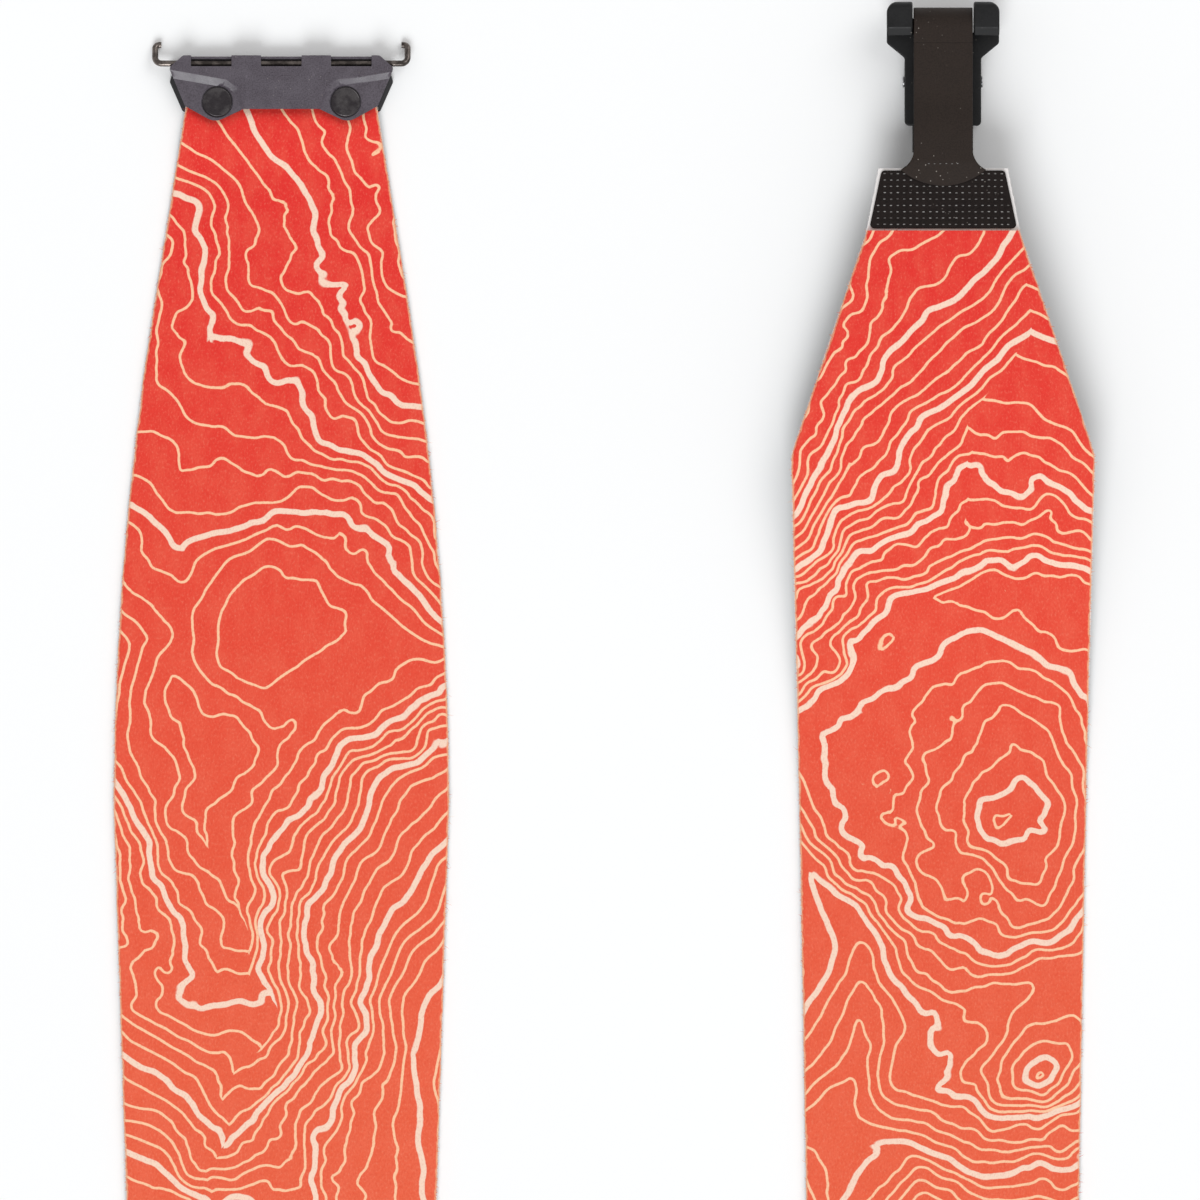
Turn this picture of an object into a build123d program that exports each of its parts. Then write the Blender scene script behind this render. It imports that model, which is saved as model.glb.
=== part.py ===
from build123d import *

import math
import os

# A pair of ski climbing skins, laid side by side on a floor, plush side up and pointing opposite ways.
#
# Millimetres, +Z up. Each skin is modelled about its own centre line with its tip towards +Y, then placed
# at -X, and once more turned half a turn about the origin. The glue side lies on Z = 0. The tail clip stands
# on the floor under the end of its skin, with the gap for the ski's tail between its deck and its hooks.

# ---- driving dimensions -------------------------------------------------------------------------------
SPACING = 224.8  # between the two centre lines
TAIL_END = -846.5  # Y of the outermost face of the tail hooks
PLATE_Y = 826.5  # Y that the tip plate's outline is measured from
TIP_END = 818.4  # Y where the skin ends, between the tip plates
FOLD_Y = 0.0  # Y where the front and rear halves meet
TIP_RAMP_START = 785.0  # Y where the skin starts to climb onto the bottom plate
TIP_RAMP = 20.0

GLUE_T = 0.3
MEMBRANE_T = 0.2
BACKING_T = 0.5
PILE_T = 1.6
LAMINATE_T = GLUE_T + MEMBRANE_T + BACKING_T  # everything under the pile

# half widths of the cut skin, each with its Y
TIP_CORNER = (31.3, TIP_END)
TIP_TAPER_END = (43.0, 745.4)
WIDEST = (57.1, 575.0)
WAIST = (44.3, -138.0)
TAIL_CORNER = (51.6, -692.7)
PATCH_FLARE = (26.0, -768.5)  # where the straight tail taper steepens beside the patch
TAIL_CUT = (21.8, -789.9)

# tip hardware, Y measured from PLATE_Y
PLATE_FRONT = 2.0
BOTTOM_PLATE_T = 1.2
PRESSED_PILE_T = 0.5  # pile squeezed under the top plate
PLATE_UNDER = BOTTOM_PLATE_T + LAMINATE_T + PRESSED_PILE_T
LOBE_TOP = PLATE_UNDER + 2.2
CREST_TOP = LOBE_TOP + 1.3
LOBE_R = 5.5
PLATE_CORNER_R = 1.6
BAND_BACK = -7.6  # the top plate stands on the bottom plate in front of this line
WIRE_Y = PLATE_Y - 0.75  # the wire's turning axis
WIRE_R = 1.05
WIRE_Z = 3.8
WIRE_CLEARANCE = 0.06
WIRE_HALF_SPAN = 42.9  # centre line of each arm
WIRE_ARM = 6.9
WIRE_BEND_R = 2.2  # where each arm leaves the shaft
WIRE_HOOK_R = 1.4
WIRE_HOOK = 2.1  # how far each arm's end turns in
RIVET_X = 21.8
RIVET_Y = -13.8
RIVET_HEAD_R = 5.0
RIVET_SHANK_R = 2.0
RIVET_SLEEVE_R = 2.5
RIVET_POCKET_R = 5.4
RIVET_POCKET_DEPTH = 0.7
RIVET_BACK_R = 4.2
RIVET_BACK_Z = (0.1, 0.6)
RIVET_SLEEVE_TOP = 1.8
RIVET_HEAD_T = 1.2
RIVET_HEAD_ROUND = 0.45
RECESS_CLEARANCE = 0.1
RIB_HALF_LENGTH = 36.0  # the bottom plate's rib under the wire
RIB_CLEARANCE = 0.1
WINDOWS = ((-30.7, -16.9), (-6.9, 6.9), (16.9, 30.7))  # X ranges that show the wire
WINDOW_Y = (-1.7, 0.8)
WINDOW_BAR_BACK = 0.4  # the bar in front of each window stands back this far, and lower
WINDOW_BAR_TOP = 4.4

# tail hardware, along the ski from the hooks' outer face
STRAP_T = 1.6
STRAP_HALF = 10.0
DECK_UNDER = 8.3
DECK_T = 2.2
SKI_GAP = 7.5  # thickness of ski tail that the clip takes
BASE_Z = DECK_UNDER + DECK_T + SKI_GAP  # height of the ski's base above the floor
LIP_T = 2.7
LIP_END = 11.4
HOOK_WALL = 3.8
HOOK_OUTER_R = 3.0
HOOK_INNER_R = 1.0
LIP_SLOPE_START = 8.8  # the lip thins from here to its end
LIP_EDGE_T = 0.7
LIP_ROUND = 1.2
LIP_EDGE_R = 0.3
HOOK_ROOT = 16.0  # the hooks run into the deck up to here
HOOK_INNER = 10.4
HOOK_OUTER = 19.1
DECK_START = 10.6
DECK_END = 42.0
WAIST_U = (14.0, 19.0)  # where the clip narrows from its hooks to its ears
CLIP_OUTER_R = 3.6
CLIP_CORNER_R = 1.5
EAR_INNER = 10.6
EAR_OUTER = 13.0
EAR_START = 18.0
EAR_TAPER = 3.0  # the ears are this much shorter at the floor, at each end
EAR_CORNER_R = 2.0
BRIDGE_Z = (4.7, 6.4)
BRIDGE_START = 39.0
BRIDGE_END = 41.4
PIN_U = 27.0
PIN_Z = 3.2
PIN_R = 1.25
PIN_CLEARANCE = 0.05
PIN_HEAD_R = 1.9
PIN_HEAD_T = 0.6
CAM_R = 2.9
CAM_OFFSET = 0.3  # how far the cam's centre stands from its pin, towards the strap
LEVER_HALF = 10.3
LEVER_END = 51.0
LEVER_T = 2.9
CAM_GROOVE = 0.5
CAM_GROOVE_ANGLES = (-40, -20, 0, 20, 40)
STRAP_TURN_OUT = 1.9  # the strap's outer face behind the hooks' outer face
RUN_START = 14.0  # where the stretching run begins
RUN_RISE_START = 29.0  # where the run climbs towards its root
RUN_RISE = 18.0
DIP_START = 53.0  # where the strap's free end drops to the floor
DIP = 32.0
FLEX_U = 50.0  # where the strap leaves its root
PATCH_START = 57.3
PATCH_END = 77.0
PATCH_T = 0.9
PATCH_HALF = (20.9, 25.1)  # at its start and its end
PATCH_CORNER_R = 1.4
PATCH_CHAMFER = 0.2
FLARE_HALF = 14.6  # the strap's root at its widest
FLARE_MIDDLE = (11.5, 54.6)
ROOT_THIN_U = 54.5  # where the root starts to thin
ROOT_EDGE_T = 0.5
PILE_START = 77.7
FLAT_TAIL_END = 80.0
TAIL_RAMP = 200.0  # length over which the skin comes down to the floor
ROOT_TIP = 62.5
FREE_END = 112.0
TAB_HALF = 11.5  # the thick pull end of the strap
TAB_LENGTH = 15.0
TAB_T = 3.2
TAB_CORNER_R = 3.0
TAB_CHAMFER = 0.7
TAB_GROOVES = (-11.5, -8.5, -5.5)  # from the strap's free end
TAB_GROOVE_HALF = 8.0
TAB_GROOVE_W = 1.2
TAB_GROOVE_DEPTH = 0.6

REACH = 80.0  # half width of the blanks that outlines are cut from
TALL = 40.0


def tail_y(u):
    """Y of a place u along the ski from the hooks' outer face."""
    return TAIL_END + u


def s_bend(run, rise):
    """Two equal tangent arcs that climb by rise over run."""
    radius = (run**2 + rise**2) / (4 * abs(rise))
    angle = math.copysign(math.degrees(math.asin(run / 2 / radius)), rise)
    return [("arc", radius, angle), ("arc", radius, -angle)]


def rail(start, heading, steps, offset):
    """Edges in the YZ plane that keep an offset to the left of a path of lines and arcs."""
    y, z = start
    edges = []

    def beside(py, pz, h):
        return (0, py - offset * math.sin(h), pz + offset * math.cos(h))

    h = math.radians(heading)
    for step in steps:
        first = beside(y, z, h)
        if step[0] == "line":
            y += step[1] * math.cos(h)
            z += step[1] * math.sin(h)
            edges.append(Line(first, beside(y, z, h)))
            continue
        radius, turn = step[1], math.radians(step[2])
        side = math.copysign(1, turn)
        centre_y = y - side * radius * math.sin(h)
        centre_z = z + side * radius * math.cos(h)
        stations = []
        for share in (0.5, 1.0):
            a = h + turn * share
            py = centre_y + side * radius * math.sin(a)
            pz = centre_z - side * radius * math.cos(a)
            stations.append((py, pz, a))
        (my, mz, ma), (y, z, h) = stations
        edges.append(ThreePointArc(first, beside(my, mz, ma), beside(y, z, h)))
    return edges


def ribbon(start, heading, steps, low, high, half_width):
    """A strip of constant thickness that follows a path in the YZ plane, centred on X = 0."""
    lower = rail(start, heading, steps, low)
    upper = rail(start, heading, steps, high)
    caps = [Line(lower[0] @ 0, upper[0] @ 0), Line(lower[-1] @ 1, upper[-1] @ 1)]
    face = make_face(lower + upper + caps)
    return extrude(face, amount=half_width, both=True)


def block(x0, x1, y0, y1, z0, z1):
    """A box between two corners."""
    size = (x1 - x0, y1 - y0, z1 - z0)
    return Pos((x0 + x1) / 2, (y0 + y1) / 2, (z0 + z1) / 2) * Box(*size)


def upright(radius, z0, z1):
    """A round bar on the Z axis."""
    return Pos(0, 0, (z0 + z1) / 2) * Cylinder(radius, z1 - z0)


def slab(face, z0, z1):
    """A face in the XY plane raised from z0 to z1."""
    return Pos(0, 0, z0) * extrude(face, amount=z1 - z0)


def across(profile_edges, x0, x1):
    """A closed profile in the YZ plane, drawn from X = x0 to x1."""
    face = make_face(profile_edges).face()
    normal_sign = math.copysign(1, face.normal_at().X)
    return Pos(x0, 0, 0) * extrude(face, amount=normal_sign * (x1 - x0))


def both_sides(shape):
    """A shape and its mirror image about the centre line."""
    return shape + mirror(shape, about=Plane.YZ)


def near(vertices, places):
    """Those vertices that stand at one of the places."""
    return [v for v in vertices if min((Vector(v) - Vector(p)).length for p in places) < 0.01]


def mirrored(edges):
    """Edges reflected about the centre line."""
    return [copy for edge in edges for copy in mirror(edge, about=Plane.YZ).edges()]


# ---- the cut skin -------------------------------------------------------------------------------------
def skin_outline():
    """The skin as trimmed to the ski: tapered tip, sidecut arcs and a tapered tail."""
    taper = Vector(*TIP_TAPER_END) - Vector(*TIP_CORNER)
    side = [
        Line(TIP_CORNER, TIP_TAPER_END),
        TangentArc(TIP_TAPER_END, WIDEST, tangent=taper),
        ThreePointArc(WIDEST, WAIST, TAIL_CORNER),
        Line(TAIL_CORNER, PATCH_FLARE),
        Line(PATCH_FLARE, TAIL_CUT),
    ]
    ends = [
        Line(TIP_CORNER, (-TIP_CORNER[0], TIP_CORNER[1])),
        Line(TAIL_CUT, (-TAIL_CUT[0], TAIL_CUT[1])),
    ]
    return make_face([*side, *mirrored(side), *ends])


def front_path():
    """From the fold to the tip: flat on the floor, then up onto the tip's bottom plate."""
    flat = TIP_RAMP_START - FOLD_Y
    rest = TIP_END - TIP_RAMP_START - TIP_RAMP
    return (FOLD_Y, 0), [("line", flat), *s_bend(TIP_RAMP, BOTTOM_PLATE_T), ("line", rest)]


def rear_path():
    """From the tail cut, level with the ski's base, down to the floor and on to the fold."""
    level = tail_y(FLAT_TAIL_END) - TAIL_CUT[1]
    floor = FOLD_Y - tail_y(FLAT_TAIL_END + TAIL_RAMP)
    steps = [("line", level), *s_bend(TAIL_RAMP, -BASE_Z), ("line", floor)]
    return (TAIL_CUT[1], BASE_Z), steps


def layer(path, low, high):
    """One layer of the laminate over one half of the skin."""
    start, steps = path
    return ribbon(start, 0, steps, low, high, REACH) & slab(skin_outline(), -1, TALL)


def rivet_places():
    """Where the two tip rivets stand."""
    return [Pos(side * RIVET_X, PLATE_Y + RIVET_Y, 0) for side in (-1, 1)]


def rivet_holes(radius):
    """Clearance through the laminate for the rivets."""
    hole = upright(radius, 0, TALL)
    return [place * hole for place in rivet_places()]


def laminate(half):
    """The bonded layers of one half, keyed by name, from the floor up."""
    path = front_path() if half == "front" else rear_path()
    levels = {
        "glue": (0, GLUE_T),
        "membrane": (GLUE_T, GLUE_T + MEMBRANE_T),
        "backing": (GLUE_T + MEMBRANE_T, LAMINATE_T),
        "plush": (LAMINATE_T, LAMINATE_T + PILE_T),
    }
    made = {}
    for name, (low, high) in levels.items():
        made[name] = layer(path, low, high)
        if half == "front":
            made[name] = made[name] - rivet_holes(RIVET_SLEEVE_R)
    if half == "front":
        made["plush"] = made["plush"] - slab(plate_outline(plate_points()), PLATE_UNDER, TALL)
    else:
        made["plush"] = made["plush"] - block(-REACH, REACH, TAIL_END, tail_y(PILE_START), 0, TALL)
    return made


# ---- tip hardware -------------------------------------------------------------------------------------
def plate_points():
    """Right half of the tip plate's outline, from the front edge round to the rear edge."""
    return [(33.4, PLATE_FRONT), (38.2, -2.2), (32.8, -15.2), (22.6, -20.8), (12.9, -16.2)]


def backing_plate_points():
    """The same for the bottom plate, which shows beside the top plate's slanted sides."""
    return [(32.6, 0.9), (36.9, -3.4), (38.0, -7.0), (33.6, -17.0), (22.6, -20.4), (12.9, -15.8)]


def plate_outline(points):
    """A tip plate seen from above, with its corners rounded."""
    right = [(x, y + PLATE_Y) for x, y in points]
    left = [(-x, y) for x, y in reversed(right)]
    face = make_face(Polyline(*right, *left, close=True))
    corners = face.vertices().sort_by(Axis.Y)
    others = [Vector(v) for v in corners[2:]]
    face = fillet(corners[:2], LOBE_R)
    return fillet(near(face.vertices(), others), PLATE_CORNER_R)


def raised_centre():
    """The thick middle of the top plate, whose sloped shoulders run round the rivet pockets."""
    foot = [(33.4, PLATE_FRONT), (38.15, -2.2), (36.7, -5.9), (20.6, -8.6), (15.9, -10.8), (13.6, -16.2)]
    crest = [(33.4, PLATE_FRONT), (38.15, -2.2), (37.9, -2.9), (18.9, -6.2), (14.4, -9.2), (11.9, -16.2)]

    def outline(points, z):
        right = [(x, y + PLATE_Y, z) for x, y in points]
        return make_face(Polyline(*right, *[(-x, y, z) for x, y, z in reversed(right)], close=True))

    block_up = loft([outline(foot, LOBE_TOP), outline(crest, CREST_TOP)], ruled=True)
    return block_up & slab(plate_outline(plate_points()), 0, TALL)


def wire_channel(radius):
    """The space the wire needs in the top plate, open towards the bottom plate."""
    round_top = Pos(0, WIRE_Y, WIRE_Z) * Rot(0, 90, 0) * Cylinder(radius, 2 * REACH)
    below = block(-REACH, REACH, WIRE_Y - radius, WIRE_Y + radius, BOTTOM_PLATE_T, WIRE_Z)
    return round_top + below


def tip_top_plate():
    """Moulded plate that clamps the skin's tip and carries the wire."""
    outline = plate_outline(plate_points())
    front = block(-REACH, REACH, PLATE_Y + BAND_BACK, PLATE_Y + PLATE_FRONT, 0, TALL)
    plate = slab(outline, PLATE_UNDER, LOBE_TOP) + raised_centre()
    plate = plate + (slab(outline, BOTTOM_PLATE_T, PLATE_UNDER) & front)
    plate = plate - wire_channel(WIRE_R + WIRE_CLEARANCE)
    bar_front = PLATE_Y + PLATE_FRONT - WINDOW_BAR_BACK
    for x0, x1 in WINDOWS:
        plate = plate - block(x0, x1, PLATE_Y + WINDOW_Y[0], PLATE_Y + WINDOW_Y[1], WIRE_Z - WIRE_R, TALL)
        plate = plate - block(x0, x1, PLATE_Y + WINDOW_Y[0], PLATE_Y + REACH, WINDOW_BAR_TOP, TALL)
        plate = plate - block(x0, x1, bar_front, PLATE_Y + REACH, 0, TALL)
    pocket = upright(RIVET_POCKET_R, LOBE_TOP - RIVET_POCKET_DEPTH, TALL)
    shank = upright(RIVET_SHANK_R, 0, TALL)
    return plate - [place * cut for place in rivet_places() for cut in (pocket, shank)]


def tip_bottom_plate():
    """Backing plate on the glue side, with a rib that closes the wire's channel."""
    rib_half = WIRE_R - RIB_CLEARANCE
    rib_top = WIRE_Z - WIRE_R - RIB_CLEARANCE
    rib = (-RIB_HALF_LENGTH, RIB_HALF_LENGTH, WIRE_Y - rib_half, WIRE_Y + rib_half, BOTTOM_PLATE_T, rib_top)
    plate = slab(plate_outline(backing_plate_points()), 0, BOTTOM_PLATE_T)
    plate = plate + block(*rib)
    hole = upright(RIVET_SLEEVE_R, 0, BOTTOM_PLATE_T)
    recess = upright(RIVET_BACK_R + RECESS_CLEARANCE, 0, RIVET_BACK_Z[1])
    return plate - [place * cut for place in rivet_places() for cut in (hole, recess)]


def tip_rivets():
    """Capped rivets, heads up."""
    seat = LOBE_TOP - RIVET_POCKET_DEPTH
    head = upright(RIVET_HEAD_R, seat, seat + RIVET_HEAD_T)
    head = fillet(head.edges().group_by(Axis.Z)[-1], RIVET_HEAD_ROUND)
    shank = upright(RIVET_SHANK_R, RIVET_BACK_Z[1], seat)
    return Compound([place * (head + shank) for place in rivet_places()])


def tip_rivet_backs():
    """Flat caps with a sleeve, which the rivets' shanks are pressed into from above."""
    cap = upright(RIVET_BACK_R, *RIVET_BACK_Z)
    sleeve_z = (RIVET_BACK_Z[1], RIVET_SLEEVE_TOP)
    sleeve = upright(RIVET_SLEEVE_R, *sleeve_z) - upright(RIVET_SHANK_R, *sleeve_z)
    return Compound([place * (cap + sleeve) for place in rivet_places()])


def tip_wire():
    """Round wire that turns in the plate; its arms hook the edges of the ski's tip and rest on the floor."""
    drop = WIRE_Z - WIRE_R
    forward = math.sqrt(WIRE_ARM**2 - drop**2)
    ahead = (WIRE_Y + forward, WIRE_Z - drop)
    span = WIRE_HALF_SPAN
    right = [(span, WIRE_Y, WIRE_Z), (span, *ahead), (span - WIRE_HOOK, *ahead)]
    left = [(-x, y, z) for x, y, z in reversed(right)]
    path = FilletPolyline(*left, *right, radius=[WIRE_HOOK_R, WIRE_BEND_R, WIRE_BEND_R, WIRE_HOOK_R])
    end = Plane(origin=path @ 0, z_dir=path % 0)
    return sweep(end * Circle(WIRE_R), path=path)


# ---- tail hardware ------------------------------------------------------------------------------------
def tail_patch():
    """Thin rubber patch over the skin's tail, where the strap is anchored."""
    top, bottom = (PATCH_HALF[0], tail_y(PATCH_START)), (PATCH_HALF[1], tail_y(PATCH_END))
    face = make_face(Polyline(top, bottom, (-bottom[0], bottom[1]), (-top[0], top[1]), close=True))
    z0 = BASE_Z + LAMINATE_T
    patch = slab(fillet(face.vertices(), PATCH_CORNER_R), z0, z0 + PATCH_T)
    return chamfer(patch.edges().group_by(Axis.Z)[-1], PATCH_CHAMFER)


def strap_root():
    """Flared end of the moulded strap, thinned to a curved edge on the patch."""
    start, flare, tip = tail_y(FLEX_U), tail_y(PATCH_START - 0.3), tail_y(ROOT_TIP)
    middle = (FLARE_MIDDLE[0], tail_y(FLARE_MIDDLE[1]))
    side = ThreePointArc((STRAP_HALF, start), middle, (FLARE_HALF, flare))
    edge = ThreePointArc((FLARE_HALF, flare), (0, tip), (-FLARE_HALF, flare))
    butt = Line((STRAP_HALF, start), (-STRAP_HALF, start))
    plan = make_face([side, *mirrored([side]), edge, butt])
    z0 = BASE_Z + LAMINATE_T + PATCH_T
    points = [
        (0, start, z0),
        (0, tip, z0),
        (0, tip, z0 + ROOT_EDGE_T),
        (0, tail_y(ROOT_THIN_U), z0 + STRAP_T),
        (0, start, z0 + STRAP_T),
    ]
    edges = Polyline(*points, close=True).edges()
    return across(edges, -REACH, REACH) & slab(plan, 0, TALL)


def strap_run():
    """The elastic stretch of strap between the skin and the clip."""
    steps = [
        ("line", RUN_RISE_START - RUN_START),
        *s_bend(RUN_RISE, LAMINATE_T + PATCH_T),
        ("line", FLEX_U - RUN_RISE_START - RUN_RISE),
    ]
    return ribbon((tail_y(RUN_START), BASE_Z), 0, steps, 0, STRAP_T, STRAP_HALF)


def strap_loop():
    """The strap round the ski's tail end, back through the cam and on to its thick pull end."""
    upper = BASE_Z + STRAP_T / 2
    lower = DECK_UNDER - STRAP_T / 2
    turn = (upper - lower) / 2
    turn_u = STRAP_TURN_OUT + turn + STRAP_T / 2
    steps = [
        ("line", RUN_START - turn_u),
        ("arc", turn, 180),
        ("line", DIP_START - turn_u),
        *s_bend(DIP, STRAP_T / 2 - lower),
        ("line", FREE_END - TAB_LENGTH / 2 - DIP_START - DIP),
    ]
    strap = ribbon((tail_y(RUN_START), upper), 180, steps, -STRAP_T / 2, STRAP_T / 2, STRAP_HALF)
    tab = block(-TAB_HALF, TAB_HALF, tail_y(FREE_END - TAB_LENGTH), tail_y(FREE_END), 0, TAB_T)
    tab = fillet(tab.edges().filter_by(Axis.Z), TAB_CORNER_R)
    tab = chamfer(tab.edges().group_by(Axis.Z)[-1], TAB_CHAMFER)
    for u in TAB_GROOVES:
        ends = (tail_y(FREE_END + u), tail_y(FREE_END + u + TAB_GROOVE_W))
        tab = tab - block(-TAB_GROOVE_HALF, TAB_GROOVE_HALF, *ends, TAB_T - TAB_GROOVE_DEPTH, TALL)
    return strap + tab


def hook_profile():
    """Side view of one tail hook, from the deck round the ski's tail end to its lip."""
    top = BASE_Z + LIP_T
    deck_top = DECK_UNDER + DECK_T
    points = [
        (HOOK_ROOT, DECK_UNDER),
        (0.0, DECK_UNDER),
        (0.0, top),
        (LIP_SLOPE_START, top),
        (LIP_END, BASE_Z + LIP_EDGE_T),
        (LIP_END, BASE_Z),
        (HOOK_WALL, BASE_Z),
        (HOOK_WALL, deck_top),
        (HOOK_ROOT, deck_top),
    ]
    radii = [HOOK_OUTER_R, HOOK_OUTER_R, LIP_ROUND, LIP_EDGE_R, LIP_EDGE_R, HOOK_INNER_R, HOOK_INNER_R]
    corners = [(0, tail_y(u), z) for u, z in points]
    bent = FilletPolyline(*corners, radius=radii)
    return [*bent.edges(), Line(corners[-1], corners[0])]


def ear():
    """Side wall that holds the cam's pin and stands on the floor."""
    corners = [
        (0, tail_y(EAR_START), DECK_UNDER),
        (0, tail_y(EAR_START + EAR_TAPER), 0),
        (0, tail_y(DECK_END - EAR_TAPER), 0),
        (0, tail_y(DECK_END), DECK_UNDER),
    ]
    bent = FilletPolyline(*corners, radius=EAR_CORNER_R)
    return across([*bent.edges(), Line(corners[-1], corners[0])], EAR_INNER, EAR_OUTER)


def clip_plan():
    """The tail clip seen from above: wide at the hooks, waisted round the cam."""
    right = [(HOOK_OUTER, 0), (HOOK_OUTER, WAIST_U[0]), (EAR_OUTER, WAIST_U[1]), (EAR_OUTER, DECK_END)]
    right = [(x, tail_y(u)) for x, u in right]
    left = [(-x, y) for x, y in reversed(right)]
    face = make_face(Polyline(*right, *left, close=True))
    corners = face.vertices().sort_by(Axis.Y)
    others = [Vector(v) for v in corners[2:]]
    face = fillet(corners[:2], CLIP_OUTER_R)
    return fillet(near(face.vertices(), others), CLIP_CORNER_R)


def clip_body():
    """Moulded tail clip: deck, two hooks, two ears and a strap keeper."""
    hooks = both_sides(across(hook_profile(), HOOK_INNER, HOOK_OUTER))
    deck_z = (DECK_UNDER, DECK_UNDER + DECK_T)
    deck = block(-HOOK_OUTER, HOOK_OUTER, tail_y(DECK_START), tail_y(DECK_END), *deck_z)
    keeper = block(-EAR_INNER, EAR_INNER, tail_y(BRIDGE_START), tail_y(BRIDGE_END), *BRIDGE_Z)
    body = hooks + deck + both_sides(ear()) + keeper
    body = body & slab(clip_plan(), 0, TALL)
    return body - pin_along_x(PIN_R, 2 * REACH)


def pin_along_x(radius, length):
    """A cylinder on the cam's axis."""
    return Pos(0, tail_y(PIN_U), PIN_Z) * Rot(0, 90, 0) * Cylinder(radius, length)


def cam_pin():
    """Headed steel pin through both ears."""
    head = Pos(0, tail_y(PIN_U), PIN_Z) * Rot(0, 90, 0) * Cylinder(PIN_HEAD_R, PIN_HEAD_T)
    heads = [Pos(side * (EAR_OUTER + PIN_HEAD_T / 2), 0, 0) * head for side in (-1, 1)]
    return pin_along_x(PIN_R, 2 * EAR_OUTER) + heads


def cam_lever():
    """Lever with a grooved cam that clamps the strap against the deck."""
    points = [
        (PIN_U, 0),
        (LEVER_END - 2.5, 0),
        (LEVER_END, 1.4),
        (LEVER_END - 0.6, 3.6),
        (LEVER_END - 5, LEVER_T),
        (PIN_U + 1, LEVER_T),
    ]
    edges = Polyline(*[(0, tail_y(u), z) for u, z in points], close=True).edges()
    lever = across(edges, -LEVER_HALF, LEVER_HALF)
    centre = Pos(0, tail_y(PIN_U), PIN_Z + CAM_OFFSET)
    lever = lever + centre * Rot(0, 90, 0) * Cylinder(CAM_R, 2 * LEVER_HALF)
    groove = Pos(0, 0, CAM_R) * Rot(45, 0, 0) * Box(2 * REACH, CAM_GROOVE, CAM_GROOVE)
    for angle in CAM_GROOVE_ANGLES:
        lever = lever - centre * Rot(angle, 0, 0) * groove
    return lever - pin_along_x(PIN_R + PIN_CLEARANCE, 2 * REACH)


# ---- the pair -----------------------------------------------------------------------------------------
def one_skin():
    """Every piece of one skin, keyed by node name, in the skin's own place."""
    pieces = {}
    for half in ("front", "rear"):
        for name, shape in laminate(half).items():
            pieces[f"{half}_{name}"] = shape
    makers = [
        tip_top_plate,
        tip_bottom_plate,
        tip_rivets,
        tip_rivet_backs,
        tip_wire,
        tail_patch,
        strap_root,
        strap_run,
        strap_loop,
        clip_body,
        cam_pin,
        cam_lever,
    ]
    for maker in makers:
        pieces[maker.__name__] = maker()
    return pieces


def main():
    os.makedirs("parts", exist_ok=True)
    left = Pos(-SPACING / 2, 0, 0)
    for side, place in {"left": left, "right": Rot(0, 0, 180) * left}.items():
        for name, shape in one_skin().items():
            export_step(Compound([place * solid for solid in shape.solids()]), f"parts/{side}_{name}.step")


main()
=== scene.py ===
"""Looks of a pair of ski climbing skins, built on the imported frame. Metres, Z up."""

import math
import random

import bpy
import numpy as np
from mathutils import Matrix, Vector, noise
from mathutils.bvhtree import BVHTree


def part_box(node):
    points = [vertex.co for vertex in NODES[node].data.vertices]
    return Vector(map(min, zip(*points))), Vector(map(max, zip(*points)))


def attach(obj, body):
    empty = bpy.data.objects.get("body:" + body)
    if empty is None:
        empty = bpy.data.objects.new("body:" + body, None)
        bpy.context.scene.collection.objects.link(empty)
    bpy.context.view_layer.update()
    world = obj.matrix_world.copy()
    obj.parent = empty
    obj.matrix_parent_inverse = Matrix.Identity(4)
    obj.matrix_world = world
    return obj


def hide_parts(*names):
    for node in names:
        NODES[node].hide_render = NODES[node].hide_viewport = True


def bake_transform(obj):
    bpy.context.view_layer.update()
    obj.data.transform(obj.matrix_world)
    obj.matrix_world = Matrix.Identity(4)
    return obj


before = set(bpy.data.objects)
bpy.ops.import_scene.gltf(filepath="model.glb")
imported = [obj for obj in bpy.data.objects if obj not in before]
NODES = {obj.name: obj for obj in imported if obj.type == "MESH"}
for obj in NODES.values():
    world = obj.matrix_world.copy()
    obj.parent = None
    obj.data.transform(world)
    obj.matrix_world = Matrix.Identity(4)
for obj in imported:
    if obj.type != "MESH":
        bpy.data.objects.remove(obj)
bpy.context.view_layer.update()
SIDES = {"left": 1, "right": -1}
CENTRE_X = {s: (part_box(f"{s}_front_plush")[0].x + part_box(f"{s}_front_plush")[1].x) / 2 for s in SIDES}

# the drawn pieces, metres
SEGMENTS = 6  # lengths that each skin's cloth and pile are drawn in
FOLD_BEND = 0.012  # half the length of cloth that bends at the fold
FOLD_FINE = (-0.016, 0.016, 0.0008)  # span over the fold with closer rows, and their spacing
INSIDE = 2e-5  # how far inside a node's ends its rays start
PILE_ROWS, CLOTH_ROWS, STRAP_ROWS = 0.0018, 0.003, 0.0007
PILE_INSET = 0.00022  # the pile stands back from the cloth's cut edge
PILE_ROUND = 0.0010  # radius of the pile's long edges
PLATE_REACH = 0.05  # length of pile at the tip that may lie under the plate
PLATE_PRESS = 0.0022  # the pile flattens over this length where the plate starts
PRESSED_SHARE = 0.22  # of the pile's height, under the plate
BARE_ROWS = 0.0004  # spacing of rows in the bare cloth under the tail patch
HAIR_GAP = 0.0005  # mean distance between loose fibres along a cut edge
LONG_HAIRS = 0.10  # share of them that stand out far
HAIR_ROOT = 0.0003  # how far inside the edge a fibre starts
END_HAIRS, END_THREADS = 260, 150  # fibres at the pile's tail end, threads beside the bare cloth
STRAP_SEAM = 0.016  # from the strap's hinge to where its two pieces meet
STRAP_EDGE = 0.00035  # radius of the strap's upper edges
ROOT_END = 4e-4  # length of the strap root's narrow end

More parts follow.
